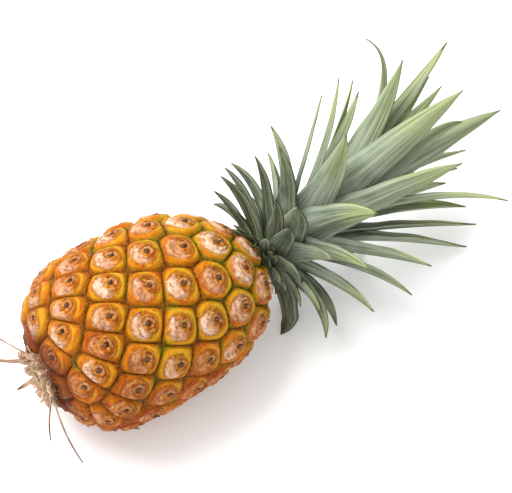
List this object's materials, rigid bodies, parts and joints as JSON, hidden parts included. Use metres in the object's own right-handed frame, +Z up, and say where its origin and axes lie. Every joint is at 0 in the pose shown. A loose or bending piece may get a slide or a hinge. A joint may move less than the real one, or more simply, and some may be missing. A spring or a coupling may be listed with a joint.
{
  "type": "pineapple",
  "caption": "Ripe pineapple lying on its side: barrel-shaped fruit with domed eyes, spiky leafy crown and cut stub; rests on a plate, board or shop shelf.",
  "frame": {"origin": "on the floor under the middle of the fruit, on the flat spot that it rests on", "axes": "+X along the fruit from its base to its crown, +Z up from the floor, +Y to the left when looking along +X"},
  "size_m": [0.3501, 0.1536, 0.146],
  "materials": {
    "rind": "waxy, semi-gloss",
    "crown_leaf": "matt with a pale bloom",
    "cut_stalk": "dry, fibrous",
    "dry_leaf": "dry, papery"
  },
  "bodies": {
    "root": {"fruit": "rind", "crown": "crown_leaf", "stem_stub": "cut_stalk", "dry_leaves": "dry_leaf"}
  },
  "joints": []
}
